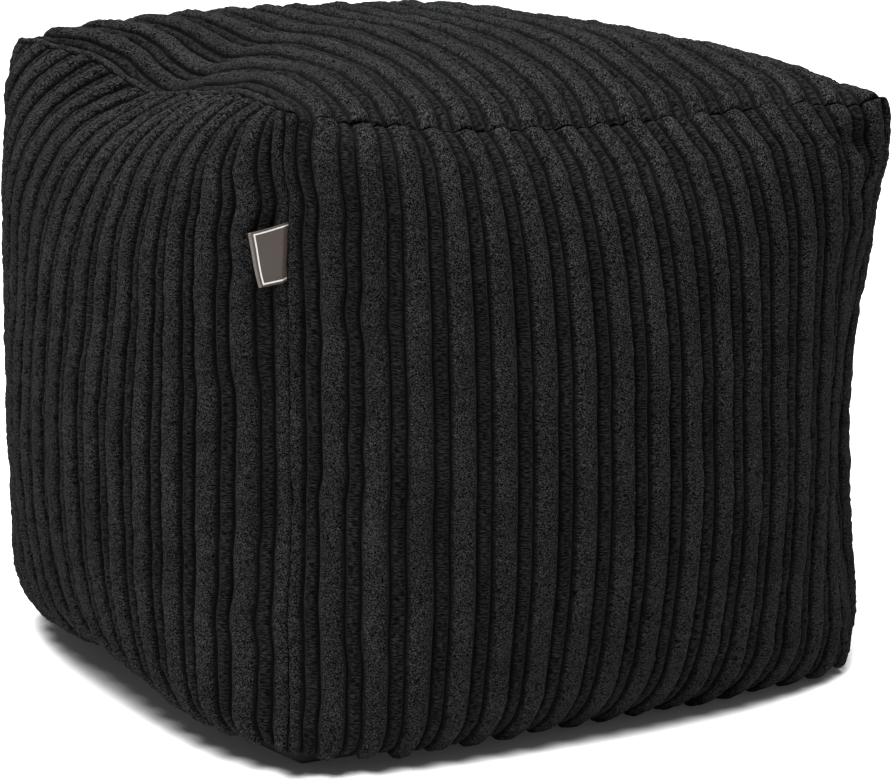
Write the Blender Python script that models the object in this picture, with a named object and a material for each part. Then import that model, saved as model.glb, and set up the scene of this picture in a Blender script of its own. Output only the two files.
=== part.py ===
"""Cube bean bag footstool in jumbo cord, with a folded tab label in one seam.

The filled bag is split the way it is sewn: five ribbed panels and a plain base.
Each panel is the part of the bag behind it, a solid that runs from its ribbed face
down to the bag's middle. A panel's face spans its four seams and swells between
them. The ribs are set out along the cloth from the panel's left seam.

The front faces -Y, the left side faces -X and +Z is up. Tables are in millimetres.
"""

import math

import bmesh
import bpy
import numpy as np

MM = 0.001

# Ribs of the cord: one narrow and one wide rib make a pair.
PAIR_PITCH = 24.0
PAIRS_PER_PANEL = 17.36
NARROW_SHARE = 0.36
NARROW_HEIGHT = 1.8
WIDE_HEIGHT = 3.0
WIDE_SHOULDER = 0.14

# A seam's sway follows t - t cubed, whose peak is 1 / SWAY_GAIN.
SWAY_GAIN = 2.6

# How a panel swells next to its seams, how its foot rolls under, and how sharply its
# top turns in to the seam above.
SEAM_PUFF = 7.0
SEAM_PUFF_SHARPNESS = 14.0
FOOT_ROLL = 20.0
FOOT_ROLL_SHARE = 0.22
FOOT_ROLL_SIDE_SHARPNESS = 8.0
TOP_TURN_SHARPNESS = 26.0

# How finely the solids are cut; the margin is in rib pairs, the reach a share.
SEAM_STEPS = 40
FACE_ROWS = 12
EDGE_MARGIN = 0.33
ROW_REACH = 0.965
LENGTH_STEPS = 160
NUDGE = 0.01

PANEL_STAND_OFF = 0.22
BAG_MIDDLE = (0.0, 0.0, 185.0)
CENTRING_SHIFT = (8.0, -8.8)

BASE_FLAT_INSET = 0.86
BASE_FLAT_STEPS = 10

# Corner: x, y, z.
CORNERS = {
    "front_left_top": (-197, -169, 371),
    "front_right_top": (195, -181, 354),
    "back_left_top": (-187, 202, 365),
    "back_right_top": (196, 198, 318),
    "front_left_foot": (-205, -201, 14),
    "front_right_foot": (206, -165, 6),
    "back_left_foot": (-162, 183, 13),
    "back_right_foot": (190, 188, 8),
}

# Seam: start corner, end corner, bow x, y, z at its middle, bow squareness,
# sway x, y, z (towards its end, and the other way towards its start).
SEAMS = {
    "front_top": ("front_left_top", "front_right_top", (0, 9.5, -12), 2, (0, 5.5, 3)),
    "left_top": ("back_left_top", "front_left_top", (24, 0, -17.5), 2, (-1, 0, 3.7)),
    "back_top": ("back_right_top", "back_left_top", (0, 0, -10), 3, (0, 0, 0)),
    "right_top": ("front_right_top", "back_right_top", (6, 0, 9), 3, (0, 0, 0)),
    "front_foot": ("front_left_foot", "front_right_foot", (0, -2, -5), 4, (0, 0, 0)),
    "left_foot": ("back_left_foot", "front_left_foot", (-25, 0, 4), 4, (6, 0, 0)),
    "back_foot": ("back_right_foot", "back_left_foot", (0, 12, -4), 4, (0, 0, 0)),
    "right_foot": ("front_right_foot", "back_right_foot", (6, 0, -3), 4, (0, 0, 0)),
    "front_left": ("front_left_foot", "front_left_top", (10, 12.5, 0), 2, (0, 0, 0)),
    "front_right": ("front_right_foot", "front_right_top", (-10, 14, 0), 2, (0, 0, 0)),
    "back_left": ("back_left_foot", "back_left_top", (8, -12, 0), 3, (0, 0, 0)),
    "back_right": ("back_right_foot", "back_right_top", (-14, -14, 0), 3, (0, 0, 0)),
}

# Panel: facing, seams (foot, top, left, right; a minus turns one round), swell,
# swell squareness across and up, swell's peak across and up, foot roll, rib phase.
PANELS = {
    "panel_front": {
        "facing": (0, -1, 0),
        "seams": ("front_foot", "front_top", "front_left", "front_right"),
        "swell": (55, 1.89, 2.2, 0.02, 0.01),
        "foot_roll": 1,
        "rib_phase": 0.33,
    },
    "panel_left": {
        "facing": (-1, 0, 0),
        "seams": ("left_foot", "left_top", "back_left", "front_left"),
        "swell": (51.5, 1.84, 3.0, 0.035, 0.22),
        "foot_roll": 1,
        "rib_phase": 0.59,
    },
    "panel_right": {
        "facing": (1, 0, 0),
        "seams": ("right_foot", "right_top", "front_right", "back_right"),
        "swell": (24, 2.0, 3.0, 0.0, 0.0),
        "foot_roll": 1,
        "rib_phase": 0.5,
    },
    "panel_back": {
        "facing": (0, 1, 0),
        "seams": ("back_foot", "back_top", "back_right", "back_left"),
        "swell": (50, 2.2, 2.8, 0.0, 0.1),
        "foot_roll": 1,
        "rib_phase": 0.4,
    },
    "panel_top": {
        "facing": (0, 0, 1),
        "seams": ("front_top", "-back_top", "-left_top", "right_top"),
        "swell": (41, 2.88, 3.1, -0.1, 0.32),
        "foot_roll": 0,
        "rib_phase": 0.32,
    },
}

# Dent in a panel: across, up, half width across and up, depth.
DENTS = {
    "panel_top": [
        (-0.92, 0.26, 0.43, 0.42, 12.2),
        (0.34, 0.51, 0.4, 0.38, -3.7),
        (0.78, -0.51, 0.4, 0.37, -4.3),
    ],
    "panel_left": [
        (-0.53, 0.62, 0.4, 0.4, -3.5),
        (-0.63, -0.29, 0.4, 0.4, 3.2),
        (0.2, 0.83, 0.4, 0.4, 3.0),
    ],
}

# Where the cloth is pulled out of its even shape: a seam, the place along it from
# -1 at its start to 1 at its end, the pull's reach, and the pull x, y, z.
PULLS = [
    ("front_right", 0.95, 30, (-3, 0, -3.5)),
    ("front_right", 0.58, 48, (4, 0, 0)),
    ("front_right", 0.2, 34, (-2, 0, 0)),
    ("front_right", -0.2, 48, (-4.5, 0, 0)),
    ("front_right", -0.55, 34, (-3, 0, 0)),
    ("left_top", -1.0, 40, (0, 0, -2.7)),
    ("left_top", -0.6, 40, (0, 0, 4.6)),
    ("left_top", -0.2, 42, (0, 0, -4)),
    ("left_top", 0.5, 45, (0, 0, 4.4)),
    ("front_top", 0.7, 38, (0, 0, 2.6)),
    ("left_foot", 0.2, 60, (0, 0, 3.5)),
]

# The label, a woven strip folded double, on the left panel beside the front seam:
# its reach from the seam in mm, its place up the panel from -1 to 1, and how far it
# droops up the panel for each mm of reach.
LABEL_LAYER = 1.0
LABEL_LAYER_GAP = 0.5
LABEL_CLEARANCE = 0.4
LABEL_ROOT = 0.7
LABEL_REACH_TOP = 21.0
LABEL_REACH_FOOT = 14.5
LABEL_HEIGHT_TOP = 0.66
LABEL_HEIGHT_FOOT = 0.484
LABEL_DROOP = 0.0014
LABEL_ROOT_LENGTH = 8.0
LABEL_STATIONS = 7
LABEL_BEND_STEPS = 6

SHARP_ANGLE = math.radians(50)
CORD_COLOUR = (0.018, 0.018, 0.019, 1.0)
CORD_ROUGHNESS = 0.95
LABEL_COLOUR = (0.13, 0.11, 0.10, 1.0)
LABEL_ROUGHNESS = 0.85


# ---------------------------------------------------------------- form of the bag

def pulled(points):
    """Points moved with the cloth wherever it is pulled out of its even shape."""
    moved = np.array(points, float)
    for seam, place, reach, pull in PULLS:
        away = np.linalg.norm(points - plain_seam(seam, place), axis=-1, keepdims=True)
        moved = moved + np.exp(-(away / reach) ** 2) * np.array(pull, float)
    return moved


def seam_points(name, t):
    """Points of a seam at t, from -1 at its start to 1 at its end."""
    return pulled(plain_seam(name, t))


def plain_seam(name, t):
    """A seam before the cloth is pulled, at t from -1 at its start to 1 at its end."""
    if name.startswith("-"):
        return plain_seam(name[1:], -t)
    start, end, bow, squareness, sway = SEAMS[name]
    t = np.asarray(t, float)[..., None]
    straight = np.array(CORNERS[start]) * (1 - t) / 2 + np.array(CORNERS[end]) * (1 + t) / 2
    bowed = np.array(bow, float) * (1 - np.abs(t) ** squareness)
    swayed = np.array(sway, float) * SWAY_GAIN * (t - t ** 3)
    return straight + bowed + swayed


def swelling(t, squareness, peak):
    """1 at the peak and 0 at both seams."""
    moved = (t - peak) / (1 - peak * t)
    return 1 - np.abs(moved) ** squareness


def foot_roll(u, v):
    """How far a side panel stands out past its foot and its top seam, from 0 to 1."""
    below = np.clip(1 - (v + 1) / FOOT_ROLL_SHARE, 0, 1)
    turned = 1 - np.clip((v + 1) / 2, 0, 1) ** TOP_TURN_SHARPNESS
    return np.sqrt(1 - below ** 2) * turned * (1 - np.abs(u) ** FOOT_ROLL_SIDE_SHARPNESS)


def face_points(name, u, v):
    """Points of a panel's face, u across and v up, each from -1 to 1."""
    panel = PANELS[name]
    foot, top, left, right = panel["seams"]
    u, v = np.broadcast_arrays(np.asarray(u, float), np.asarray(v, float))
    across, up = u[..., None], v[..., None]
    ends = np.array([-1.0, 1.0])
    foot_left, foot_right = plain_seam(foot, ends)
    top_left, top_right = plain_seam(top, ends)
    points = (1 - up) / 2 * plain_seam(foot, u) + (1 + up) / 2 * plain_seam(top, u)
    points = points + (1 - across) / 2 * plain_seam(left, v)
    points = points + (1 + across) / 2 * plain_seam(right, v)
    points = points - (1 - across) * (1 - up) / 4 * foot_left
    points = points - (1 + across) * (1 - up) / 4 * foot_right
    points = points - (1 - across) * (1 + up) / 4 * top_left
    points = points - (1 + across) * (1 + up) / 4 * top_right

    height, square_u, square_v, peak_u, peak_v = panel["swell"]
    puff = 1 - np.abs(u) ** SEAM_PUFF_SHARPNESS
    puff = puff * (1 - np.abs(v) ** SEAM_PUFF_SHARPNESS)
    out = height * swelling(u, square_u, peak_u) * swelling(v, square_v, peak_v)
    out = out + SEAM_PUFF * puff
    out = out + FOOT_ROLL * panel["foot_roll"] * foot_roll(u, v)
    for dent_u, dent_v, width_u, width_v, depth in DENTS.get(name, []):
        hollow = np.exp(-((u - dent_u) / width_u) ** 2 - ((v - dent_v) / width_v) ** 2)
        out = out - depth * hollow * puff
    return pulled(points + out[..., None] * np.array(panel["facing"], float))


def cloth_points(name, pairs, v):
    """Points of a panel's face, set out along the cloth in rib pairs from its left seam."""
    steps = np.linspace(-1, 1, LENGTH_STEPS)
    rows = []
    for height in v:
        row = face_points(name, steps, height)
        lengths = np.linalg.norm(np.diff(row, axis=0), axis=1)
        run = np.concatenate([[0.0], np.cumsum(lengths)])
        u = np.interp(np.asarray(pairs) / PAIRS_PER_PANEL, run / run[-1], steps)
        rows.append(face_points(name, u, height))
    return np.array(rows)


def cloth_normals(name, pairs, v):
    """Outward directions of the cloth at the same places as cloth_points."""
    across = cloth_points(name, pairs + NUDGE, v) - cloth_points(name, pairs - NUDGE, v)
    up = cloth_points(name, pairs, v + NUDGE) - cloth_points(name, pairs, v - NUDGE)
    normals = np.cross(across, up)
    return normals / np.linalg.norm(normals, axis=-1, keepdims=True)


# ------------------------------------------------------------------ ribs and panels

def rib_columns(phase):
    """Where the face is cut across the ribs, in pairs, and the cloth's height there."""
    profile = [
        (0.0, 0.0),
        (NARROW_SHARE / 2, NARROW_HEIGHT),
        (NARROW_SHARE, 0.0),
        (NARROW_SHARE + WIDE_SHOULDER, WIDE_HEIGHT),
        (1.0 - WIDE_SHOULDER, WIDE_HEIGHT),
    ]
    places, heights = [], []
    for pair in range(-1, int(PAIRS_PER_PANEL) + 1):
        for share, height in profile:
            place = pair + phase + share
            if EDGE_MARGIN <= place <= PAIRS_PER_PANEL - EDGE_MARGIN:
                places.append(place)
                heights.append(height)
    return np.array(places), np.array(heights)


def zip_strip(mesh, outer, inner):
    """Triangles between two runs of vertices that start and end side by side."""
    i, j = 0, 0
    while i < len(outer) - 1 or j < len(inner) - 1:
        outer_next = (i + 1) / (len(outer) - 1)
        inner_next = (j + 1) / (len(inner) - 1)
        if j == len(inner) - 1 or (i < len(outer) - 1 and outer_next <= inner_next):
            mesh.faces.new((outer[i], outer[i + 1], inner[j]))
            i += 1
        else:
            mesh.faces.new((outer[i], inner[j + 1], inner[j]))
            j += 1


def loop_points(seams, steps):
    """A panel's four seams as runs of points, one after the other round the panel."""
    foot, top, left, right = seams
    t = np.linspace(-1, 1, steps + 1)
    return [
        seam_points(foot, t),
        seam_points(right, t),
        seam_points(top, -t),
        seam_points(left, -t),
    ]


def loop_vertices(mesh, point_runs):
    """Vertices for four runs of points; a run ends on the vertex the next one starts on."""
    firsts = [mesh.verts.new(points[0] * MM) for points in point_runs]
    runs = []
    for k, points in enumerate(point_runs):
        between = [mesh.verts.new(point * MM) for point in points[1:-1]]
        runs.append([firsts[k]] + between + [firsts[(k + 1) % len(firsts)]])
    return runs


def close_to_middle(mesh, runs, offset):
    """Walls from the seams down to the bag's middle."""
    middle = mesh.verts.new((np.array(BAG_MIDDLE) + offset) * MM)
    for run in runs:
        for first, second in zip(run, run[1:]):
            mesh.faces.new((second, first, middle))


def make_object(name, mesh, material):
    """One object with its own material, from a closed bmesh."""
    bmesh.ops.triangulate(mesh, faces=mesh.faces)
    bmesh.ops.recalc_face_normals(mesh, faces=mesh.faces)
    data = bpy.data.meshes.new(name)
    mesh.to_mesh(data)
    mesh.free()
    data.shade_smooth()
    data.set_sharp_from_angle(angle=SHARP_ANGLE)
    data.materials.append(material)
    thing = bpy.data.objects.new(name, data)
    thing.location = (CENTRING_SHIFT[0] * MM, CENTRING_SHIFT[1] * MM, 0.0)
    bpy.context.collection.objects.link(thing)
    return thing


def build_ribbed_panel(name, material):
    """A ribbed face, a margin strip to its seams and the walls behind it."""
    panel = PANELS[name]
    offset = np.array(panel["facing"], float) * PANEL_STAND_OFF
    places, heights = rib_columns(panel["rib_phase"])
    sines = np.sin(np.linspace(-math.pi / 2, math.pi / 2, FACE_ROWS + 2)[1:-1])
    rows = ROW_REACH * sines / sines.max()
    points = cloth_points(name, places, rows)
    points = points + cloth_normals(name, places, rows) * heights[None, :, None] + offset

    mesh = bmesh.new()
    grid = [[mesh.verts.new(point * MM) for point in row] for row in points]
    for lower, upper in zip(grid, grid[1:]):
        for i in range(len(lower) - 1):
            mesh.faces.new((lower[i], lower[i + 1], upper[i + 1], upper[i]))

    outline = [points + offset for points in loop_points(panel["seams"], SEAM_STEPS)]
    runs = loop_vertices(mesh, outline)
    foot, right, top, left = runs
    zip_strip(mesh, foot, grid[0])
    zip_strip(mesh, right, [row[-1] for row in grid])
    zip_strip(mesh, top, grid[-1][::-1])
    zip_strip(mesh, left, [row[0] for row in grid][::-1])
    close_to_middle(mesh, runs, offset)
    return make_object(name, mesh, material)


def build_base(material):
    """The plain base: flat on the floor, its margin rising to the foot seams."""
    offset = np.array([0.0, 0.0, -PANEL_STAND_OFF])
    seams = ("front_foot", "-back_foot", "-left_foot", "right_foot")
    mesh = bmesh.new()
    outline = [points + offset for points in loop_points(seams, SEAM_STEPS)]
    runs = loop_vertices(mesh, outline)
    shrink = np.array([BASE_FLAT_INSET, BASE_FLAT_INSET, 0.0])
    flat = [points * shrink for points in loop_points(seams, BASE_FLAT_STEPS)]
    flat_runs = loop_vertices(mesh, flat)
    for outer, inner in zip(runs, flat_runs):
        zip_strip(mesh, outer, inner)
    mesh.faces.new([vertex for run in flat_runs for vertex in run[:-1]])
    close_to_middle(mesh, runs, offset)
    return make_object("panel_base", mesh, material)


def label_section():
    """The folded label cut along its length: shares of its reach, and heights."""
    thickness = 2 * LABEL_LAYER + LABEL_LAYER_GAP
    bend = np.linspace(-math.pi / 2, math.pi / 2, LABEL_BEND_STEPS + 1)
    run = np.linspace(0, 1, LABEL_STATIONS)
    outer_radius = thickness / 2
    inner_radius = LABEL_LAYER_GAP / 2
    section = [(share, 0.0, 0.0) for share in run]
    for angle in bend[1:-1]:
        section.append((1.0, outer_radius * math.cos(angle), outer_radius * (1 + math.sin(angle))))
    section += [(share, 0.0, thickness) for share in run[::-1]]
    section += [(share, 0.0, LABEL_LAYER + LABEL_LAYER_GAP) for share in run]
    section += [(1.0, inner_radius, thickness / 2)]
    section += [(share, 0.0, LABEL_LAYER) for share in run[::-1]]
    return section


def build_label(material):
    """The folded tab, drooping from the front left seam over the left panel's ribs."""
    section = label_section()
    mesh = bmesh.new()
    rings = []
    for step in np.linspace(0, 1, LABEL_STATIONS):
        reach = LABEL_REACH_FOOT + (LABEL_REACH_TOP - LABEL_REACH_FOOT) * step
        height = LABEL_HEIGHT_FOOT + (LABEL_HEIGHT_TOP - LABEL_HEIGHT_FOOT) * step
        ring = []
        for share, past_end, lift in section:
            along = LABEL_ROOT + share * (reach - LABEL_ROOT) + past_end
            pairs = np.array([PAIRS_PER_PANEL - along / PAIR_PITCH])
            v = np.array([height - LABEL_DROOP * along])
            seat = cloth_points("panel_left", pairs, v)[0, 0]
            normal = cloth_normals("panel_left", pairs, v)[0, 0]
            rise = min(1.0, along / LABEL_ROOT_LENGTH) * WIDE_HEIGHT + LABEL_CLEARANCE
            ring.append(mesh.verts.new((seat + normal * (rise + lift)) * MM))
        rings.append(ring)
    count = len(section)
    for lower, upper in zip(rings, rings[1:]):
        for i in range(count):
            k = (i + 1) % count
            mesh.faces.new((lower[i], lower[k], upper[k], upper[i]))
    mesh.faces.new(rings[0][::-1])
    mesh.faces.new(rings[-1])
    return make_object("label_tab", mesh, material)


def make_material(name, colour, roughness):
    """A plain Principled material."""
    material = bpy.data.materials.new(name)
    material.use_nodes = True
    shader = material.node_tree.nodes["Principled BSDF"]
    shader.inputs["Base Color"].default_value = colour
    shader.inputs["Roughness"].default_value = roughness
    shader.inputs["Metallic"].default_value = 0.0
    return material


def main():
    for thing in list(bpy.data.objects):
        bpy.data.objects.remove(thing)
    for name in PANELS:
        build_ribbed_panel(name, make_material(name + "_cord", CORD_COLOUR, CORD_ROUGHNESS))
    build_base(make_material("panel_base_cord", CORD_COLOUR, CORD_ROUGHNESS))
    build_label(make_material("label_weave", LABEL_COLOUR, LABEL_ROUGHNESS))


main()
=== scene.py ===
"""Looks of the cube bean bag footstool: its cord panels, the plain base and the label.

The form repeats the seams and swellings of the part's source, so each piece lies on
the solid that it replaces. On that form the ribs are modelled at their full shape,
and the cloth sinks into its seams, creases and hangs unevenly as it does in the photo.

The front faces -Y, the left side faces -X and +Z is up. Tables are in millimetres.
"""

import math

import bpy
import numpy as np
from mathutils import Matrix, Vector


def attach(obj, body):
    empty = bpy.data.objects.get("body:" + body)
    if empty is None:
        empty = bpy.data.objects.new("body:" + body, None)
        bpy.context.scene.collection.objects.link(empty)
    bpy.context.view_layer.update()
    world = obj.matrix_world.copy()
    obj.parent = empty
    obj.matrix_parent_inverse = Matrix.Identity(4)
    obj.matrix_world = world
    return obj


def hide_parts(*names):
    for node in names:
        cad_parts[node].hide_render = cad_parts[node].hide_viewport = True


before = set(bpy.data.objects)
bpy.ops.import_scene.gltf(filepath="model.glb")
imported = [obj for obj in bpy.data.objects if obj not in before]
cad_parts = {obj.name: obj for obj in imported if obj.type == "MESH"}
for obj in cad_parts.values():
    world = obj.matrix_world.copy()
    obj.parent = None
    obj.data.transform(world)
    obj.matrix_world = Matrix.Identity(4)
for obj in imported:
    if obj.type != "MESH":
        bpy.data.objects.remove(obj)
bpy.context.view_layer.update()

MM = 0.001

# ------------------------------------------------------------ values of the form

PAIR_PITCH = 24.0
PAIRS_PER_PANEL = 17.36
SWAY_GAIN = 2.6
SEAM_PUFF = 7.0
SEAM_PUFF_SHARPNESS = 14.0
FOOT_ROLL = 20.0
FOOT_ROLL_SHARE = 0.22
FOOT_ROLL_SIDE_SHARPNESS = 8.0
TOP_TURN_SHARPNESS = 26.0
LENGTH_STEPS = 160
BAG_MIDDLE = np.array([0.0, 0.0, 185.0])
CENTRING_SHIFT = np.array([8.0, -8.8, 0.0])

# Corner: x, y, z.
CORNERS = {
    "front_left_top": (-197, -169, 371),
    "front_right_top": (195, -181, 354),
    "back_left_top": (-187, 202, 365),
    "back_right_top": (196, 198, 318),
    "front_left_foot": (-205, -201, 14),
    "front_right_foot": (206, -165, 6),
    "back_left_foot": (-162, 183, 13),
    "back_right_foot": (190, 188, 8),
}

# Seam: start corner, end corner, bow x, y, z at its middle, bow squareness,
# sway x, y, z (towards its end, and the other way towards its start).
SEAMS = {
    "front_top": ("front_left_top", "front_right_top", (0, 9.5, -12), 2, (0, 5.5, 3)),
    "left_top": ("back_left_top", "front_left_top", (24, 0, -17.5), 2, (-1, 0, 3.7)),
    "back_top": ("back_right_top", "back_left_top", (0, 0, -10), 3, (0, 0, 0)),
    "right_top": ("front_right_top", "back_right_top", (6, 0, 9), 3, (0, 0, 0)),
    "front_foot": ("front_left_foot", "front_right_foot", (0, -2, -5), 4, (0, 0, 0)),
    "left_foot": ("back_left_foot", "front_left_foot", (-25, 0, 4), 4, (6, 0, 0)),
    "back_foot": ("back_right_foot", "back_left_foot", (0, 12, -4), 4, (0, 0, 0)),
    "right_foot": ("front_right_foot", "back_right_foot", (6, 0, -3), 4, (0, 0, 0)),
    "front_left": ("front_left_foot", "front_left_top", (10, 12.5, 0), 2, (0, 0, 0)),
    "front_right": ("front_right_foot", "front_right_top", (-10, 14, 0), 2, (0, 0, 0)),
    "back_left": ("back_left_foot", "back_left_top", (8, -12, 0), 3, (0, 0, 0)),
    "back_right": ("back_right_foot", "back_right_top", (-14, -14, 0), 3, (0, 0, 0)),
}

# Panel: facing, seams (foot, top, left, right; a minus turns one round), swell,
# swell squareness across and up, swell's peak across and up, foot roll, rib phase,
# how many rows of faces it has, and the seed of its unevenness.
PANELS = {
    "panel_front": {
        "facing": (0, -1, 0),
        "seams": ("front_foot", "front_top", "front_left", "front_right"),
        "swell": (55, 1.89, 2.2, 0.02, 0.01),
        "foot_roll": 1,
        "rib_phase": 0.33,
        "rows": 310,
        "seed": 3,
    },
    "panel_left": {
        "facing": (-1, 0, 0),
        "seams": ("left_foot", "left_top", "back_left", "front_left"),
        "swell": (51.5, 1.84, 3.0, 0.035, 0.22),
        "foot_roll": 1,
        "rib_phase": 0.59,
        "rows": 310,
        "seed": 11,
    },
    "panel_right": {
        "facing": (1, 0, 0),
        "seams": ("right_foot", "right_top", "front_right", "back_right"),
        "swell": (24, 2.0, 3.0, 0.0, 0.0),
        "foot_roll": 1,
        "rib_phase": 0.5,
        "rows": 230,
        "seed": 23,
    },
    "panel_back": {
        "facing": (0, 1, 0),
        "seams": ("back_foot", "back_top", "back_right", "back_left"),
        "swell": (50, 2.2, 2.8, 0.0, 0.1),
        "foot_roll": 1,
        "rib_phase": 0.4,
        "rows": 230,
        "seed": 37,
    },
    "panel_top": {
        "facing": (0, 0, 1),
        "seams": ("front_top", "-back_top", "-left_top", "right_top"),
        "swell": (41, 2.88, 3.1, -0.1, 0.32),
        "foot_roll": 0,
        "rib_phase": 0.32,
        "rows": 310,
        "seed": 51,
    },
}

# Dent in a panel: across, up, half width across and up, depth.
DENTS = {
    "panel_top": [
        (-0.92, 0.26, 0.43, 0.42, 12.2),
        (0.34, 0.51, 0.4, 0.38, -3.7),
        (0.78, -0.51, 0.4, 0.37, -4.3),
    ],
    "panel_left": [
        (-0.53, 0.62, 0.4, 0.4, -3.5),
        (-0.63, -0.29, 0.4, 0.4, 3.2),
        (0.2, 0.83, 0.4, 0.4, 3.0),
    ],
}

# Where the cloth is pulled out of its even shape: a seam, the place along it from
# -1 at its start to 1 at its end, the pull's reach, and the pull x, y, z.
PULLS = [
    ("front_right", 0.95, 30, (-3, 0, -3.5)),
    ("front_right", 0.58, 48, (4, 0, 0)),
    ("front_right", 0.2, 34, (-2, 0, 0)),
    ("front_right", -0.2, 48, (-4.5, 0, 0)),
    ("front_right", -0.55, 34, (-3, 0, 0)),
    ("left_top", -1.0, 40, (0, 0, -2.7)),
    ("left_top", -0.6, 40, (0, 0, 4.6)),
    ("left_top", -0.2, 42, (0, 0, -4)),
    ("left_top", 0.5, 45, (0, 0, 4.4)),
    ("front_top", 0.7, 38, (0, 0, 2.6)),
    ("left_foot", 0.2, 60, (0, 0, 3.5)),
]

# Small gathers along the seams, smaller than the solids show, laid out like the pulls.
GATHERS = [
    ("front_right", 0.13, 9, (-3.2, 1.0, 0)),
    ("front_right", -0.4, 9, (-3.2, 1.0, 0)),
    ("front_right", 0.22, 9, (1.6, 0, 0)),
    ("front_right", 0.86, 26, (7.0, 0, -0.5)),
    ("front_right", 0.64, 22, (2.5, 0, 0)),
    ("front_right", 1.0, 16, (-0.5, 1.0, 7.0)),
    ("front_right", -1.0, 16, (-3.0, 2.0, 3.0)),
    ("front_top", 0.86, 26, (2.0, -1.0, 0.5)),
    ("right_top", -0.9, 26, (4.0, 0, 1.0)),
    ("left_top", -1.0, 13, (1.0, -1.0, -6.0)),
    ("back_top", 0.84, 24, (0, 0, 3.0)),
    ("back_left", 0.84, 34, (-5.5, 0, 0)),
    ("front_left", 0.86, 13, (-2.2, -1.2, 0)),
    ("front_left", 0.72, 12, (2.4, 1.4, 0)),
    ("front_left", 0.5, 14, (-1.6, -1.0, 0)),
    ("front_left", -0.2, 16, (1.8, 1.0, 0)),
    ("front_left", -0.55, 16, (-1.8, -1.0, 0)),
    ("front_left", -0.85, 14, (1.6, 1.0, 0)),
    ("left_foot", 0.0, 42, (3.0, 0, 5.0)),
    ("left_foot", 0.93, 34, (0, 0, 5.0)),
    ("front_foot", 0.93, 26, (1.0, -2.0, -1.0)),
]

# Small hollows in the panels, smaller than the solids show, laid out like the dents.
HOLLOWS = {
    "panel_front": [(0.9, 0.9, 0.06, 0.055, 16.0), (0.94, 0.72, 0.05, 0.08, 9.0)],
    "panel_top": [(-0.94, 0.9, 0.06, 0.05, 3.0), (-0.88, 0.24, 0.17, 0.15, 5.0)],
}

# ------------------------------------------------------------ values of the cloth

# Shares of a rib pair, from groove to groove; heights in mm.
NARROW_MIDDLE = 0.18
NARROW_HALF = 0.163
NARROW_HEIGHT = 2.5
NARROW_SQUARENESS = 2.2
WIDE_MIDDLE = 0.68
WIDE_HALF = 0.293
WIDE_HEIGHT = 5.2
WIDE_SQUARENESS = 2.3
RIB_FLANK = 0.6
NARROW_SHARE = 0.36
NARROW_SHOULDER = 0.85
WIDE_SHOULDER = 0.5
NARROW_CUTS = 7
WIDE_CUTS = 11

# The cloth near its seams, in mm: over what length the ribs rise from a side seam and
# from their ends, the share of their height that is left at an end, how deep the
# grooves lie, how wide the painted shade along a seam is, how deep and wide the seam
# sinks in, and how far the cloth is tucked in behind it.
SIDE_FADE = 2.0
END_FADE = 3.6
END_REST = 0.35
GROOVE_SINK = 1.4
SEAM_SHADE = 0.5
SEAM_SINK = 0.3
SEAM_SINK_WIDTH = 1.8
TUCKS = (5.0, 12.0)

# Unevenness: how far, and over what length along the ribs, in mm. Across the ribs
# the wander and the puckers change over a number of rib pairs, and the lumps of the
# ribs a number of times in each pair. At the foot of a panel the puckers are weaker.
WANDER = 1.0
WANDER_LENGTH = 55.0
WANDER_PAIRS = 3
PUCKER = 7.5
PUCKER_LENGTH = 21.0
PUCKER_PAIRS = 2
PUCKER_REACH = 34.0
PUCKER_LIFT = 1.1
PUCKER_AT_FOOT = 0.35
LUMP = 1.3
LUMP_LENGTH = 70.0
RIB_LUMP = 0.75
RIB_LUMP_LENGTH = 14.0
RIB_LUMPS_PER_PAIR = 3
TUFT = 0.6
TUFT_LENGTH = 2.3
NOISE_CELLS = 512

# Panels whose pile is drawn out along the ribs, with what the places along the ribs
# are multiplied by.
PILE_SCALE = {"panel_top": 0.55}

# How high the cloth stays above the floor in mm, and the shares of the rows of faces
# that crowd to the ends of the ribs and that lie evenly.
FLOOR_TOUCH = 0.2
ROW_CROWDING = 0.55
ROW_EVENNESS = 0.45

# Base: how much of its width lies flat, how finely it is cut and how its rings crowd
# to its edge, how its margin curves up to the seam, how far its cloth lies from that
# of the panels in mm, and its even pile, painted with a shade about halfway between
# that of a groove and a crest, as the base lies in shadow.
BASE_INSET = 0.86
BASE_STEPS = 120
BASE_RINGS = 60
BASE_CROWDING = 1.4
BASE_RISE = 1.6
BASE_CLOTH_PLACE = (500.0, 500.0, 0.0)
BASE_SHADE_CREST = 0.5

# ------------------------------------------------------------ values of the label

# In mm, but the heights are places up the panel from -1 to 1, the droop is how much
# lower the label lies for each mm from its seam, and the probe is a small step along
# the cloth in rib pairs, and up it, that finds the cloth's direction.
LABEL_LAYER = 1.0
LABEL_LAYER_GAP = 0.5
LABEL_CLEARANCE = 0.4
LABEL_ROOT = 0.7
LABEL_REACH_TOP = 21.0
LABEL_REACH_FOOT = 14.5
LABEL_HEIGHT_TOP = 0.66
LABEL_HEIGHT_FOOT = 0.484
LABEL_DROOP = 0.0014
LABEL_ROOT_LENGTH = 2.6
LABEL_REST_HEIGHT = 4.9
LABEL_STATIONS = 28
LABEL_RINGS = 36
LABEL_BEND_STEPS = 12
LABEL_TALL = 32.0
LABEL_PROBE = 0.02

# ------------------------------------------------------------ camera and light

CAMERA_TARGET = (19.9, -8.8, 159.8)
CAMERA_DISTANCE = 2342.9
CAMERA_AZIMUTH = -31.0
CAMERA_ELEVATION = 13.38
CAMERA_ROLL = 1.7
CAMERA_LENS = 152.56
CAMERA_SENSOR = 36.0

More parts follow.
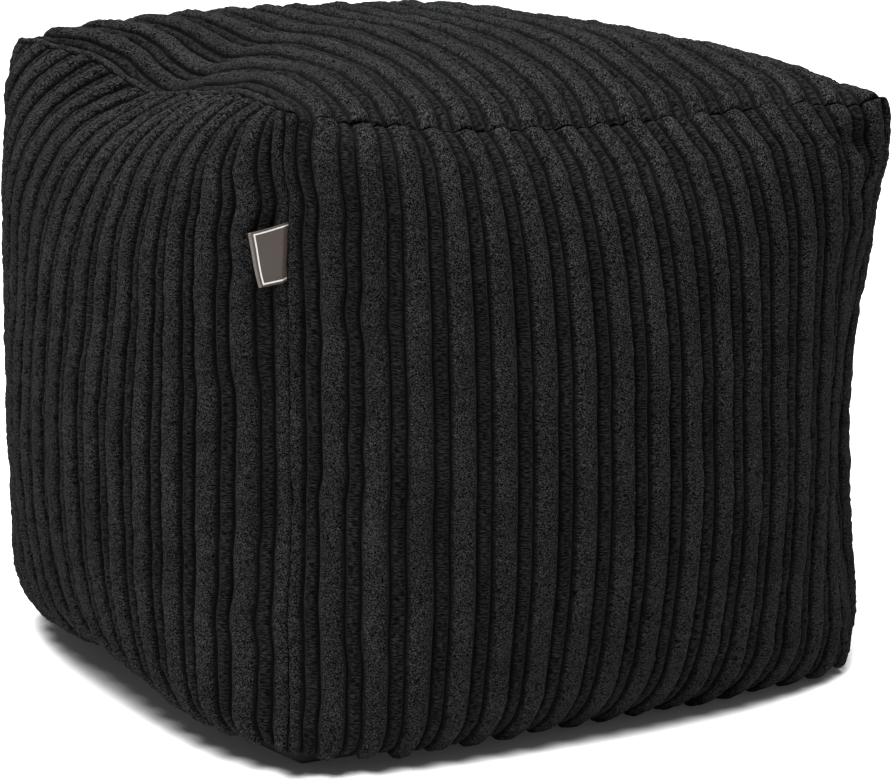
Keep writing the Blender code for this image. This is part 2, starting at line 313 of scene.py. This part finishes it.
# Light: place, aim, width and height, all in mm, and power in watts.
LIGHTS = {
    "key_left": ((-2100, -300, 1300), (0, 0, 200), 1200, 1200, 32),
    "fill_front": ((700, -2600, 1000), (0, 0, 150), 1500, 1500, 1),
    "rim_back": ((1300, 2500, 1600), (0, 0, 250), 1500, 1500, 14),
    "overhead": ((-400, 0, 4200), (0, 0, 300), 3700, 3700, 740),
    "floor_wash": ((-2100, -1900, 3700), (0, -200, 0), 1500, 1500, 400),
}

# Lamps that light the floor alone, and lamps that leave the floor out, so that the
# shadow stays close under the bag.
FLOOR_ONLY = ["floor_wash"]
BAG_ONLY = ["key_left"]
WORLD_STRENGTH = 0.17
FLOOR_HALF = 9000.0
FLOOR_COLOUR = (0.62, 0.62, 0.62, 1.0)
FLOOR_GLOW = 0.02
WHITE = (1.0, 1.0, 1.0, 1.0)


# ---------------------------------------------------------------- form of the bag

def pulled(points):
    """Points moved with the cloth wherever it is pulled out of its even shape."""
    moved = np.array(points, float)
    for seam, place, reach, pull in PULLS + GATHERS:
        away = np.linalg.norm(points - plain_seam(seam, place), axis=-1, keepdims=True)
        moved = moved + np.exp(-(away / reach) ** 2) * np.array(pull, float)
    return moved


def seam_points(name, t):
    """Points of a seam at t, from -1 at its start to 1 at its end."""
    return pulled(plain_seam(name, t))


def plain_seam(name, t):
    """A seam before the cloth is pulled, at t from -1 at its start to 1 at its end."""
    if name.startswith("-"):
        return plain_seam(name[1:], -t)
    start, end, bow, squareness, sway = SEAMS[name]
    t = np.asarray(t, float)[..., None]
    straight = np.array(CORNERS[start]) * (1 - t) / 2 + np.array(CORNERS[end]) * (1 + t) / 2
    bowed = np.array(bow, float) * (1 - np.abs(t) ** squareness)
    swayed = np.array(sway, float) * SWAY_GAIN * (t - t ** 3)
    return straight + bowed + swayed


def swelling(t, squareness, peak):
    """1 at the peak and 0 at both seams."""
    moved = (t - peak) / (1 - peak * t)
    return 1 - np.abs(moved) ** squareness


def foot_roll(u, v):
    """How far a side panel stands out past its foot and its top seam, from 0 to 1."""
    below = np.clip(1 - (v + 1) / FOOT_ROLL_SHARE, 0, 1)
    turned = 1 - np.clip((v + 1) / 2, 0, 1) ** TOP_TURN_SHARPNESS
    return np.sqrt(1 - below ** 2) * turned * (1 - np.abs(u) ** FOOT_ROLL_SIDE_SHARPNESS)


def face_points(name, u, v):
    """Points of a panel's face, u across and v up, each from -1 to 1."""
    panel = PANELS[name]
    foot, top, left, right = panel["seams"]
    u, v = np.broadcast_arrays(np.asarray(u, float), np.asarray(v, float))
    across, up = u[..., None], v[..., None]
    ends = np.array([-1.0, 1.0])
    foot_left, foot_right = plain_seam(foot, ends)
    top_left, top_right = plain_seam(top, ends)
    points = (1 - up) / 2 * plain_seam(foot, u) + (1 + up) / 2 * plain_seam(top, u)
    points = points + (1 - across) / 2 * plain_seam(left, v)
    points = points + (1 + across) / 2 * plain_seam(right, v)
    points = points - (1 - across) * (1 - up) / 4 * foot_left
    points = points - (1 + across) * (1 - up) / 4 * foot_right
    points = points - (1 - across) * (1 + up) / 4 * top_left
    points = points - (1 + across) * (1 + up) / 4 * top_right

    height, square_u, square_v, peak_u, peak_v = panel["swell"]
    puff = 1 - np.abs(u) ** SEAM_PUFF_SHARPNESS
    puff = puff * (1 - np.abs(v) ** SEAM_PUFF_SHARPNESS)
    out = height * swelling(u, square_u, peak_u) * swelling(v, square_v, peak_v)
    out = out + SEAM_PUFF * puff
    out = out + FOOT_ROLL * panel["foot_roll"] * foot_roll(u, v)
    for dent_u, dent_v, width_u, width_v, depth in DENTS.get(name, []) + HOLLOWS.get(name, []):
        hollow = np.exp(-((u - dent_u) / width_u) ** 2 - ((v - dent_v) / width_v) ** 2)
        out = out - depth * hollow * puff
    return pulled(points + out[..., None] * np.array(panel["facing"], float))


def cloth_points(name, pairs, rows):
    """Points of a panel's face for a grid of places along the cloth, in rib pairs."""
    steps = np.linspace(-1, 1, LENGTH_STEPS)
    points = []
    for places, height in zip(pairs, rows):
        row = face_points(name, steps, height)
        lengths = np.linalg.norm(np.diff(row, axis=0), axis=1)
        run = np.concatenate([[0.0], np.cumsum(lengths)])
        u = np.interp(places / PAIRS_PER_PANEL, run / run[-1], steps)
        points.append(face_points(name, u, height))
    return np.array(points)


def grid_normals(points):
    """Outward directions of a grid of points."""
    across = np.gradient(points, axis=1)
    up = np.gradient(points, axis=0)
    normals = np.cross(across, up)
    return normals / np.linalg.norm(normals, axis=-1, keepdims=True)


def grid_run(points, axis):
    """Lengths along a grid of points from its first row or column, in mm."""
    steps = np.linalg.norm(np.diff(points, axis=axis), axis=-1)
    start = np.zeros_like(np.take(steps, [0], axis=axis))
    return np.concatenate([start, np.cumsum(steps, axis=axis)], axis=axis)


# ---------------------------------------------------------------- unevenness

def smooth_noise(x, y, seed):
    """Smooth noise from -1 to 1 that changes over about one unit of x and of y."""
    table = np.random.default_rng(seed).uniform(-1, 1, (NOISE_CELLS, NOISE_CELLS))
    column, row = np.floor(x).astype(int), np.floor(y).astype(int)
    along, up = x - column, y - row
    along = along * along * (3 - 2 * along)
    up = up * up * (3 - 2 * up)
    column, row = column % NOISE_CELLS, row % NOISE_CELLS
    next_column, next_row = (column + 1) % NOISE_CELLS, (row + 1) % NOISE_CELLS
    low = table[row, column] * (1 - along) + table[row, next_column] * along
    high = table[next_row, column] * (1 - along) + table[next_row, next_column] * along
    return low * (1 - up) + high * up


# ---------------------------------------------------------------- ribs

def rib_cuts(phase):
    """Where the cloth is cut across its ribs, in rib pairs from the left seam."""
    cuts = [0.0, PAIRS_PER_PANEL]
    for pair in range(-1, int(PAIRS_PER_PANEL) + 1):
        for start, width, count in (
            (0.0, NARROW_SHARE, NARROW_CUTS),
            (NARROW_SHARE, 1.0 - NARROW_SHARE, WIDE_CUTS),
        ):
            even = np.arange(count) / count
            crowded = (even + (1 - np.cos(math.pi * even)) / 2) / 2
            cuts += list(pair + phase + start + width * crowded)
    cuts = np.array(sorted(cuts))
    return cuts[(cuts >= 0) & (cuts <= PAIRS_PER_PANEL)]


def rib_shape(share):
    """The cloth's height across one rib pair, and how much of it is wide rib."""
    narrow = np.clip(np.abs(share - NARROW_MIDDLE) / NARROW_HALF, 0, 1)
    wide = np.clip(np.abs(share - WIDE_MIDDLE) / WIDE_HALF, 0, 1)
    narrow = (1 - narrow ** NARROW_SQUARENESS) ** RIB_FLANK
    wide = (1 - wide ** WIDE_SQUARENESS) ** RIB_FLANK
    return narrow * NARROW_HEIGHT, wide * WIDE_HEIGHT


def mesh_from_grid(name, grid, closed=False):
    """A mesh of four-sided faces from rows of points in mm, facing outwards."""
    rows, columns = grid.shape[:2]
    numbers = np.arange(rows * columns).reshape(rows, columns)
    if closed:
        numbers = np.concatenate([numbers, numbers[:, :1]], axis=1)
    faces = np.stack(
        [numbers[:-1, :-1], numbers[:-1, 1:], numbers[1:, 1:], numbers[1:, :-1]], axis=-1
    )
    data = bpy.data.meshes.new(name)
    points = (grid.reshape(-1, 3) + CENTRING_SHIFT) * MM
    data.from_pydata(points, [], faces.reshape(-1, 4))
    data.shade_smooth()
    return data


def add_vectors(data, name, values):
    """A named vector on each vertex, for the material to read."""
    attribute = data.attributes.new(name, "FLOAT_VECTOR", "POINT")
    attribute.data.foreach_set("vector", np.asarray(values, np.float32).reshape(-1))


def add_piece(name, data, material, node):
    """An object that rides on the body and stands for one CAD node."""
    data.materials.append(material)
    piece = bpy.data.objects.new(name, data)
    bpy.context.collection.objects.link(piece)
    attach(piece, "root")
    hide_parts(node)
    return piece


def build_ribbed_panel(name, material):
    """One panel's cloth, ribbed, sunk at its seams and tucked in behind them."""
    panel = PANELS[name]
    seed = panel["seed"]
    columns = rib_cuts(panel["rib_phase"])
    rows = np.sin(np.linspace(-math.pi / 2, math.pi / 2, panel["rows"]))
    rows = ROW_CROWDING * rows + ROW_EVENNESS * np.linspace(-1, 1, panel["rows"])
    across = columns * PAIR_PITCH
    along = (rows + 1) / 2 * PAIRS_PER_PANEL * PAIR_PITCH
    x, y = np.meshgrid(across, along)

    inside = np.clip(np.minimum(columns, PAIRS_PER_PANEL - columns), 0, 1)
    wander = WANDER * smooth_noise(x / (WANDER_PAIRS * PAIR_PITCH), y / WANDER_LENGTH, seed)
    beside = np.minimum(x, x.max() - x)
    pucker = smooth_noise(x / (PUCKER_PAIRS * PAIR_PITCH), y / PUCKER_LENGTH, seed + 4)
    strength = PUCKER_AT_FOOT + (1 - PUCKER_AT_FOOT) * y / y.max()
    crowded = np.exp(-beside / PUCKER_REACH) * strength
    wander = wander + PUCKER * pucker * crowded
    pairs = columns[None, :] + wander / PAIR_PITCH * inside[None, :]
    smooth = cloth_points(name, pairs, rows)
    normals = grid_normals(smooth)

    from_foot = grid_run(smooth, 0)
    from_left = grid_run(smooth, 1)
    to_side = np.minimum(from_left, from_left[:, -1:] - from_left)
    to_end = np.minimum(from_foot, from_foot[-1:] - from_foot)
    to_seam = np.minimum(to_side, to_end)

    narrow, wide = rib_shape((columns - panel["rib_phase"]) % 1.0)
    heights = (narrow + wide)[None, :]
    crest = narrow / NARROW_HEIGHT / NARROW_SHOULDER + wide / WIDE_HEIGHT / WIDE_SHOULDER
    crest = np.clip(crest, 0, 1)[None, :]
    fade = np.sqrt(1 - np.clip(1 - to_side / SIDE_FADE, 0, 1) ** 2)
    end_fade = np.sqrt(1 - np.clip(1 - to_end / END_FADE, 0, 1) ** 2)
    fade = fade * (END_REST + (1 - END_REST) * end_fade)
    lumps = smooth_noise(x / LUMP_LENGTH, y / LUMP_LENGTH, seed + 1)
    lump_places = x / PAIR_PITCH * RIB_LUMPS_PER_PAIR
    rib_lumps = smooth_noise(lump_places, y / RIB_LUMP_LENGTH, seed + 2)
    tufts = smooth_noise(x / TUFT_LENGTH, y / TUFT_LENGTH, seed + 3)
    height = (heights - GROOVE_SINK) * fade
    height = height + LUMP * lumps * np.clip(to_seam / LUMP_LENGTH, 0, 1)
    gathered = smooth_noise(x / PUCKER_LENGTH, y / PUCKER_LENGTH, seed + 5)
    height = height + PUCKER_LIFT * gathered * np.exp(-to_seam / PUCKER_REACH) * fade
    height = height + (RIB_LUMP * rib_lumps + TUFT * tufts) * crest * fade
    height = height - SEAM_SINK * np.exp(-(to_seam / SEAM_SINK_WIDTH) ** 2)
    grid = smooth + normals * height[..., None]
    grid[..., 2] = np.maximum(grid[..., 2], FLOOR_TOUCH)

    for tuck in TUCKS:
        grid = np.pad(grid, ((1, 1), (1, 1), (0, 0)), mode="edge")
        inward = BAG_MIDDLE - grid
        inward = inward / np.linalg.norm(inward, axis=-1, keepdims=True)
        edge = np.zeros(grid.shape[:2] + (1,))
        edge[[0, -1]] = 1
        edge[:, [0, -1]] = 1
        grid = grid + inward * tuck * edge

    border = len(TUCKS)
    wrap = ((border, border), (border, border))
    widths = (wide / WIDE_HEIGHT)[None, :] * np.ones_like(x)
    cloth = np.stack([x, y * PILE_SCALE.get(name, 1.0), np.zeros_like(x)], axis=-1)
    # Painted shade: the crest that sets the colour falls to nothing at the seams, so a dark
    # line of shade is painted along them.
    near = np.clip(to_seam / SEAM_SHADE, 0, 1)
    relief = np.stack([crest * near, widths, np.zeros_like(x)], axis=-1)
    data = mesh_from_grid(name + "_cloth", grid)
    add_vectors(data, "cloth", np.pad(cloth, wrap + ((0, 0),), mode="edge"))
    # Painted shade: the tucks get no crest, so they are painted in the grooves' full shade.
    add_vectors(data, "relief", np.pad(relief, wrap + ((0, 0),), mode="constant"))
    piece = add_piece(name + "_cloth", data, material, name)
    return piece


# ---------------------------------------------------------------- base

def build_base(material):
    """The plain base: flat on the floor, its margin rising to the foot seams."""
    t = np.linspace(-1, 1, BASE_STEPS // 4 + 1)[:-1]
    outline = np.concatenate([
        seam_points("front_foot", t),
        seam_points("right_foot", t),
        seam_points("back_foot", t),
        seam_points("left_foot", t),
    ])
    inward = BAG_MIDDLE - outline
    inward = inward / np.linalg.norm(inward, axis=1, keepdims=True)
    rings = [outline + inward * tuck for tuck in TUCKS[::-1]]
    for share in np.linspace(0, 1, BASE_RINGS) ** BASE_CROWDING:
        spread = 1 - share
        rise = np.clip((spread - BASE_INSET) / (1 - BASE_INSET), 0, 1) ** BASE_RISE
        ring = outline * np.array([spread, spread, 0.0])
        ring[:, 2] = outline[:, 2] * rise
        rings.append(ring)
    grid = np.array(rings)[::-1]
    data = mesh_from_grid("panel_base_cloth", grid, closed=True)
    cloth = grid + np.array(BASE_CLOTH_PLACE)
    # Painted shade: the base's crest is held at a middle value, so its colour lies about
    # halfway into the grooves' shade, as the base lies in shadow.
    flat = np.zeros_like(grid)
    flat[..., 0] = BASE_SHADE_CREST
    add_vectors(data, "cloth", cloth)
    add_vectors(data, "relief", flat)
    piece = add_piece("panel_base_cloth", data, material, "panel_base")
    return piece


# ---------------------------------------------------------------- label

def label_section():
    """The folded label cut along its length: shares of its reach, and heights."""
    thickness = 2 * LABEL_LAYER + LABEL_LAYER_GAP
    bend = np.linspace(-math.pi / 2, math.pi / 2, LABEL_BEND_STEPS + 1)
    run = np.linspace(0, 1, LABEL_STATIONS)
    outer, inner = thickness / 2, LABEL_LAYER_GAP / 2
    section = [(share, 0.0, 0.0) for share in run]
    for angle in bend[1:-1]:
        section.append((1.0, outer * math.cos(angle), outer * (1 + math.sin(angle))))
    section += [(share, 0.0, thickness) for share in run[::-1]]
    section += [(share, 0.0, LABEL_LAYER + LABEL_LAYER_GAP) for share in run]
    for angle in bend[-2:0:-1]:
        section.append((1.0, inner * math.cos(angle), thickness / 2 + inner * math.sin(angle)))
    section += [(share, 0.0, LABEL_LAYER) for share in run[::-1]]
    return section


def build_label(material):
    """The folded tab, drooping from the front left seam over the left panel's ribs."""
    section = np.array(label_section())
    rings = []
    places = []
    for step in np.linspace(0, 1, LABEL_RINGS):
        reach = LABEL_REACH_FOOT + (LABEL_REACH_TOP - LABEL_REACH_FOOT) * step
        height = LABEL_HEIGHT_FOOT + (LABEL_HEIGHT_TOP - LABEL_HEIGHT_FOOT) * step
        along = LABEL_ROOT + section[:, 0] * (reach - LABEL_ROOT) + section[:, 1]
        pairs = PAIRS_PER_PANEL - along / PAIR_PITCH
        up = height - LABEL_DROOP * along
        seat = cloth_points("panel_left", pairs[:, None], up)[:, 0]
        beside = cloth_points("panel_left", pairs[:, None] + LABEL_PROBE, up)[:, 0] - seat
        above = cloth_points("panel_left", pairs[:, None], up + LABEL_PROBE)[:, 0] - seat
        normal = np.cross(beside, above)
        normal = normal / np.linalg.norm(normal, axis=1, keepdims=True)
        rise = np.minimum(1.0, along / LABEL_ROOT_LENGTH) * LABEL_REST_HEIGHT + LABEL_CLEARANCE
        rings.append(seat + normal * (rise + section[:, 2])[:, None])
        level = np.full(len(along), step * LABEL_TALL)
        places.append(np.stack([reach - along, level, along], axis=1))
    grid = np.array(rings)
    data = mesh_from_grid("label_weave", grid, closed=True)
    ring = np.arange(len(section))
    last = ring + (LABEL_RINGS - 1) * len(section)
    cap_label(data, ring[::-1], last)
    add_vectors(data, "tab", np.array(places))
    piece = add_piece("label_folded", data, material, "label_tab")
    return piece


def cap_label(data, first, last):
    """Closes the label's two cut ends."""
    points = [vertex.co.copy() for vertex in data.vertices]
    faces = [tuple(face.vertices) for face in data.polygons]
    count = len(first)
    half = count // 2
    for ring in (first, last):
        for i in range(half - 1):
            opposite = count - 1 - i
            quad = (ring[i], ring[i + 1], ring[opposite - 1], ring[opposite])
            faces.append(tuple(int(k) for k in quad))
    data.clear_geometry()
    data.from_pydata(points, [], faces)
    data.shade_smooth()


# ---------------------------------------------------------------- materials

def new_material(name):
    """An empty node material with a Principled shader at its output."""
    material = bpy.data.materials.new(name)
    material.use_nodes = True
    return material, material.node_tree, material.node_tree.nodes["Principled BSDF"]


def add_node(tree, kind, **settings):
    """A node of a kind, with its settings."""
    node = tree.nodes.new(kind)
    for key, value in settings.items():
        setattr(node, key, value)
    return node


def read_vector(tree, name):
    """A node that reads a vector laid on the vertices."""
    node = add_node(tree, "ShaderNodeAttribute", attribute_name=name)
    return node.outputs["Vector"]


def math_node(tree, operation, first, second, clamp=False):
    """A math node on two sockets or numbers."""
    node = add_node(tree, "ShaderNodeMath", operation=operation, use_clamp=clamp)
    for socket, value in zip(node.inputs, (first, second)):
        if isinstance(value, (int, float)):
            socket.default_value = value
        else:
            tree.links.new(value, socket)
    return node.outputs[0]


def map_range(tree, value, low, high, to_low=0.0, to_high=1.0):
    """A value carried from one range to another, and held inside it."""
    node = add_node(tree, "ShaderNodeMapRange", interpolation_type="SMOOTHSTEP")
    tree.links.new(value, node.inputs["Value"])
    node.inputs["From Min"].default_value = low
    node.inputs["From Max"].default_value = high
    node.inputs["To Min"].default_value = to_low
    node.inputs["To Max"].default_value = to_high
    return node.outputs["Result"]


def noise(tree, vector, stretch, scale, detail, distortion):
    """Noise on stretched cloth coordinates in mm."""
    mapping = add_node(tree, "ShaderNodeMapping")
    tree.links.new(vector, mapping.inputs["Vector"])
    mapping.inputs["Scale"].default_value = stretch
    node = add_node(tree, "ShaderNodeTexNoise")
    tree.links.new(mapping.outputs["Vector"], node.inputs["Vector"])
    node.inputs["Scale"].default_value = scale
    node.inputs["Detail"].default_value = detail
    node.inputs["Distortion"].default_value = distortion
    return node.outputs["Fac"]


def mix_colours(tree, factor, first, second):
    """A mix of two colours; each is a socket or a colour."""
    node = add_node(tree, "ShaderNodeMix", data_type="RGBA")
    tree.links.new(factor, node.inputs[0])
    for socket, value in zip((node.inputs[6], node.inputs[7]), (first, second)):
        if isinstance(value, tuple):
            socket.default_value = value
        else:
            tree.links.new(value, socket)
    return node.outputs[2]


# The cord's colours: the painted shade in its grooves, along its seams, on its tucks and on
# the base, between the tufts, on the tufts, and its sheen.
CORD_GROOVE_SHADE = (0.002, 0.002, 0.00205, 1.0)
CORD_GAP = (0.0003, 0.0003, 0.00031, 1.0)
CORD_TUFT = (0.0262, 0.0262, 0.0267, 1.0)
CORD_SHEEN = (0.55, 0.55, 0.57, 1.0)

# Patterns of the pile: how often each repeats for each mm, and the noise that is taken
# as its lowest and its highest. The curl is where its noise is near its middle.
CURL_SCALE = 0.62
CURL_RANGE = (0.015, 0.085)
GRAIN_SCALE = 1.25
GRAIN_RANGE = (0.36, 0.64)
STRIPE_SCALE = 1.1
STRIPE_RANGE = (0.3, 0.7)
STRIPE_LEVELS = (0.44, 0.58)
PATCH_SCALE = 0.035
PATCH_RANGE = (0.3, 0.7)
PATCH_LEVELS = (0.82, 1.12)
FLECK_RANGE = (0.41, 0.78)
WIDE_RANGE = (0.35, 0.85)
# The crest above which the grooves' painted shade is gone.
CREST_FULL = 0.95
TUFT_ROUGHNESS = 0.82
PILE_BUMP = 0.9
PILE_DEPTH = 0.0019


def cord_material():
    """Black jumbo cord: tufted wide ribs, finely striped narrow ribs, and painted shade in the
    grooves and along the seams.
    """
    material, tree, shader = new_material("cord_pile")
    links = tree.links
    cloth = read_vector(tree, "cloth")
    relief = add_node(tree, "ShaderNodeSeparateXYZ")
    links.new(read_vector(tree, "relief"), relief.inputs[0])
    crest, wide = relief.outputs[0], relief.outputs[1]

    curl = noise(tree, cloth, (1.0, 0.85, 1.0), CURL_SCALE, 1.0, 1.2)
    curl = math_node(tree, "ABSOLUTE", math_node(tree, "SUBTRACT", curl, 0.5), 0.0)
    curl = map_range(tree, curl, *CURL_RANGE, 0.0, 0.5)
    grain = noise(tree, cloth, (1.0, 0.9, 1.0), GRAIN_SCALE, 1.0, 0.6)
    tuft = math_node(tree, "ADD", curl, map_range(tree, grain, *GRAIN_RANGE, 0.0, 0.5))
    stripe = noise(tree, cloth, (0.3, 1.0, 1.0), STRIPE_SCALE, 1.0, 0.4)
    patch = noise(tree, cloth, (1.0, 0.6, 1.0), PATCH_SCALE, 2.0, 0.2)
    on_wide = map_range(tree, wide, *WIDE_RANGE)
    stripe = map_range(tree, stripe, *STRIPE_RANGE, *STRIPE_LEVELS)
    pile = add_node(tree, "ShaderNodeMix", data_type="FLOAT")
    links.new(on_wide, pile.inputs[0])
    links.new(stripe, pile.inputs[2])
    links.new(tuft, pile.inputs[3])
    fleck = map_range(tree, pile.outputs[0], *FLECK_RANGE)

    lit = mix_colours(tree, fleck, CORD_GAP, CORD_TUFT)
    # Painted shade: where the crest is low, in the grooves, along the seams and on the tucks,
    # the colour falls to the dark groove shade.
    shade = map_range(tree, crest, 0.0, CREST_FULL)
    colour = mix_colours(tree, shade, CORD_GROOVE_SHADE, lit)
    worn = map_range(tree, patch, *PATCH_RANGE, *PATCH_LEVELS)
    tint = add_node(tree, "ShaderNodeVectorMath", operation="SCALE")
    links.new(colour, tint.inputs[0])
    links.new(worn, tint.inputs["Scale"])
    links.new(tint.outputs[0], shader.inputs["Base Color"])

    bump = add_node(tree, "ShaderNodeBump")
    depth = math_node(tree, "MULTIPLY", pile.outputs[0], shade)
    links.new(depth, bump.inputs["Height"])
    bump.inputs["Strength"].default_value = PILE_BUMP
    bump.inputs["Distance"].default_value = PILE_DEPTH
    links.new(bump.outputs["Normal"], shader.inputs["Normal"])
    rough = map_range(tree, fleck, 0.0, 1.0, 1.0, TUFT_ROUGHNESS)
    links.new(rough, shader.inputs["Roughness"])
    shader.inputs["Specular IOR Level"].default_value = 0.01
    shader.inputs["Sheen Weight"].default_value = 0.02
    shader.inputs["Sheen Roughness"].default_value = 0.5
    shader.inputs["Sheen Tint"].default_value = CORD_SHEEN
    return material


# The label's colours: its ground, in two shades, the line woven into it and its fold.
# The line lies that far from the fold, and nearer to the cut ends, in mm.
LABEL_GROUND = (0.028, 0.0208, 0.0174, 1.0)
LABEL_GROUND_PALE = (0.0425, 0.033, 0.0283, 1.0)
LABEL_THREAD = (0.4, 0.383, 0.363, 1.0)
LABEL_FOLD = (0.08, 0.072, 0.066, 1.0)
FRAME_INSET = 2.2
FRAME_END_INSET = FRAME_INSET * 0.7
FRAME_WIDTH = 0.8
WEAVE_SCALE = 0.62
SPECKLE_SCALE = 2.6
WEAVE_BUMP = 0.5
WEAVE_DEPTH = 0.0002


def line_mask(tree, value, centre, width):
    """1 within a line of that width about the centre, and 0 beside it."""
    away = math_node(tree, "ABSOLUTE", math_node(tree, "SUBTRACT", value, centre), 0.0)
    return map_range(tree, away, width * 0.6, width * 0.4)


def label_material():
    """A woven label in taupe with a pale frame line, bare of text."""
    material, tree, shader = new_material("label_weave")
    links = tree.links
    tab = read_vector(tree, "tab")
    parts = add_node(tree, "ShaderNodeSeparateXYZ")
    links.new(tab, parts.inputs[0])
    from_fold, up = parts.outputs[0], parts.outputs[1]

    weave = add_node(tree, "ShaderNodeTexWave", wave_type="BANDS", bands_direction="Y")
    links.new(tab, weave.inputs["Vector"])
    weave.inputs["Scale"].default_value = WEAVE_SCALE
    weave.inputs["Distortion"].default_value = 0.5
    speckle = noise(tree, tab, (1.0, 1.0, 0.1), SPECKLE_SCALE, 1.0, 0.0)
    ground = mix_colours(tree, speckle, LABEL_GROUND, LABEL_GROUND_PALE)

    upright = line_mask(tree, from_fold, FRAME_INSET, FRAME_WIDTH)
    low = line_mask(tree, up, FRAME_END_INSET, FRAME_WIDTH)
    high = line_mask(tree, up, LABEL_TALL - FRAME_END_INSET, FRAME_WIDTH)
    inside = map_range(tree, from_fold, FRAME_INSET - FRAME_WIDTH, FRAME_INSET)
    level = math_node(tree, "MULTIPLY", math_node(tree, "MAXIMUM", low, high), inside)
    between = map_range(tree, up, 0.7, 1.5)
    below = map_range(tree, up, LABEL_TALL - 0.7, LABEL_TALL - 1.5)
    upright = math_node(tree, "MULTIPLY", upright, math_node(tree, "MULTIPLY", between, below))
    thread = math_node(tree, "MAXIMUM", level, upright)
    framed = mix_colours(tree, thread, ground, LABEL_THREAD)
    folded = map_range(tree, from_fold, 0.9, 0.2)
    links.new(mix_colours(tree, folded, framed, LABEL_FOLD), shader.inputs["Base Color"])

    bump = add_node(tree, "ShaderNodeBump")
    links.new(math_node(tree, "ADD", weave.outputs["Fac"], thread), bump.inputs["Height"])
    bump.inputs["Strength"].default_value = WEAVE_BUMP
    bump.inputs["Distance"].default_value = WEAVE_DEPTH
    links.new(bump.outputs["Normal"], shader.inputs["Normal"])
    links.new(map_range(tree, speckle, 0.3, 0.7, 0.75, 0.9), shader.inputs["Roughness"])
    shader.inputs["Specular IOR Level"].default_value = 0.25
    return material


# ---------------------------------------------------------------- surroundings

def build_floor():
    """A plain pale floor."""
    corners = [(-1, -1), (1, -1), (1, 1), (-1, 1)]
    points = [(x * FLOOR_HALF * MM, y * FLOOR_HALF * MM, 0.0) for x, y in corners]
    data = bpy.data.meshes.new("floor")
    data.from_pydata(points, [], [(0, 1, 2, 3)])
    material, _, shader = new_material("floor_pale")
    shader.inputs["Base Color"].default_value = FLOOR_COLOUR
    shader.inputs["Emission Color"].default_value = WHITE
    shader.inputs["Emission Strength"].default_value = FLOOR_GLOW
    shader.inputs["Roughness"].default_value = 1.0
    shader.inputs["Specular IOR Level"].default_value = 0.0
    data.materials.append(material)
    floor = bpy.data.objects.new("floor", data)
    bpy.context.collection.objects.link(floor)
    return floor


def aim(place, target):
    """A rotation whose -Z looks from a place to a target."""
    return (Vector(target) - Vector(place)).to_track_quat("-Z", "Y").to_euler()


def build_lights(floor):
    """Soft boxes round the bag and overhead, and one for the floor, in a pale room."""
    floor_alone = bpy.data.collections.new("floor_alone")
    floor_alone.objects.link(floor)
    all_but_floor = bpy.data.collections.new("all_but_floor")
    all_but_floor.objects.link(floor)
    all_but_floor.collection_objects[0].light_linking.link_state = "EXCLUDE"
    for name, (place, target, width, height, power) in LIGHTS.items():
        light = bpy.data.lights.new(name, "AREA")
        light.shape = "RECTANGLE"
        light.size = width * MM
        light.size_y = height * MM
        light.energy = power
        lamp = bpy.data.objects.new(name, light)
        lamp.location = Vector(place) * MM
        lamp.rotation_euler = aim(place, target)
        bpy.context.collection.objects.link(lamp)
        if name in FLOOR_ONLY:
            lamp.light_linking.receiver_collection = floor_alone
        if name in BAG_ONLY:
            lamp.light_linking.receiver_collection = all_but_floor
    world = bpy.data.worlds.new("pale_room")
    world.use_nodes = True
    background = world.node_tree.nodes["Background"]
    background.inputs["Color"].default_value = WHITE
    background.inputs["Strength"].default_value = WORLD_STRENGTH
    bpy.context.scene.world = world
    bpy.context.scene.view_settings.view_transform = "Standard"


def build_camera():
    """The camera at the photograph's viewing angle."""
    azimuth = math.radians(CAMERA_AZIMUTH)
    elevation = math.radians(CAMERA_ELEVATION)
    roll = math.radians(CAMERA_ROLL)
    forward = Vector((
        -math.sin(azimuth) * math.cos(elevation),
        math.cos(azimuth) * math.cos(elevation),
        -math.sin(elevation),
    ))
    right = Vector((math.cos(azimuth), math.sin(azimuth), 0.0))
    up = right.cross(forward)
    turned_right = right * math.cos(roll) + up * math.sin(roll)
    turned_up = up * math.cos(roll) - right * math.sin(roll)
    lens = bpy.data.cameras.new("camera")
    lens.sensor_width = CAMERA_SENSOR
    lens.lens = CAMERA_LENS
    lens.clip_end = 50.0
    camera = bpy.data.objects.new("camera", lens)
    place = (Vector(CAMERA_TARGET) - forward * CAMERA_DISTANCE) * MM
    axes = Matrix((turned_right, turned_up, -forward)).transposed()
    camera.matrix_world = Matrix.Translation(place) @ axes.to_4x4()
    bpy.context.collection.objects.link(camera)
    bpy.context.scene.camera = camera


def main():
    build_camera()
    build_lights(build_floor())
    cord = cord_material()
    for name in PANELS:
        build_ribbed_panel(name, cord)
    build_base(cord)
    build_label(label_material())


main()
